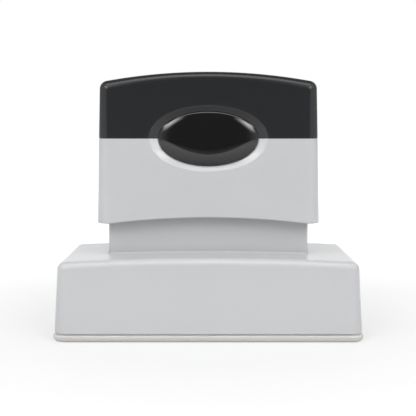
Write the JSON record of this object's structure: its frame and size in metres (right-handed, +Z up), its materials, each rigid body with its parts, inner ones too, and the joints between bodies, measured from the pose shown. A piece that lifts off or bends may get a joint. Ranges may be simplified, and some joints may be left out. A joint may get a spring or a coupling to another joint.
{
  "type": "pre-inked stamp",
  "caption": "Pre-inked hand stamp: a sprung press handle with a lift-off ink cap slides over the neck of a skirted base, with a foam die block inside and a push-on dust cover below.",
  "frame": {"origin": "middle of the dust cover's underside, where the stamp stands on a table", "axes": "+X along the base's width, +Y to the back, away from the badge, +Z up"},
  "size_m": [0.096, 0.0502, 0.0832],
  "materials": {
    "grey_abs": "moulded ABS, light grey, semi-gloss",
    "black_abs": "moulded ABS, black, semi-gloss",
    "cover_abs": "moulded ABS, warm pale grey, semi-gloss",
    "stem_abs": "moulded ABS, mid grey, satin",
    "die_abs": "moulded ABS, near black, satin",
    "spring_wire": "drawn spring steel wire",
    "ink_felt": "wool felt soaked with ink",
    "die_foam": "microporous foam, inked",
    "seal_rubber": "nitrile rubber",
    "badge_vinyl": "black vinyl label, bare",
    "badge_resin": "domed clear resin over the black label"
  },
  "bodies": {
    "dust_cover": {"dust_cover": "cover_abs"},
    "base": {"skirt_shell": "grey_abs", "neck_sleeve": "grey_abs", "return_spring_left": "spring_wire", "return_spring_right": "spring_wire"},
    "handle": {"handle_shell": "grey_abs", "plunger": "stem_abs", "die_holder": "die_abs", "ink_pad": "ink_felt", "foam_die": "die_foam", "die_frame": "die_abs", "port_seal_left": "seal_rubber", "port_seal_right": "seal_rubber", "ink_wick_left": "ink_felt", "ink_wick_right": "ink_felt"},
    "cap": {"handle_cap": "black_abs", "badge_label": "badge_vinyl", "badge_lens": "badge_resin"}
  },
  "joints": [
    {"name": "stamp_lift", "type": "slide", "parent": "dust_cover", "child": "base", "axis": [0, 0, 1], "range_m": [0, 0.02]},
    {"name": "handle_press", "type": "slide", "parent": "base", "child": "handle", "axis": [0, 0, -1], "range_m": [0, 0.0055], "stiffness_N_per_m": 1100, "springref_m": -0.006, "deforming": ["return_spring_left", "return_spring_right"]},
    {"name": "cap_lift", "type": "slide", "parent": "handle", "child": "cap", "axis": [0, 0, 1], "range_m": [0, 0.03]}
  ]
}
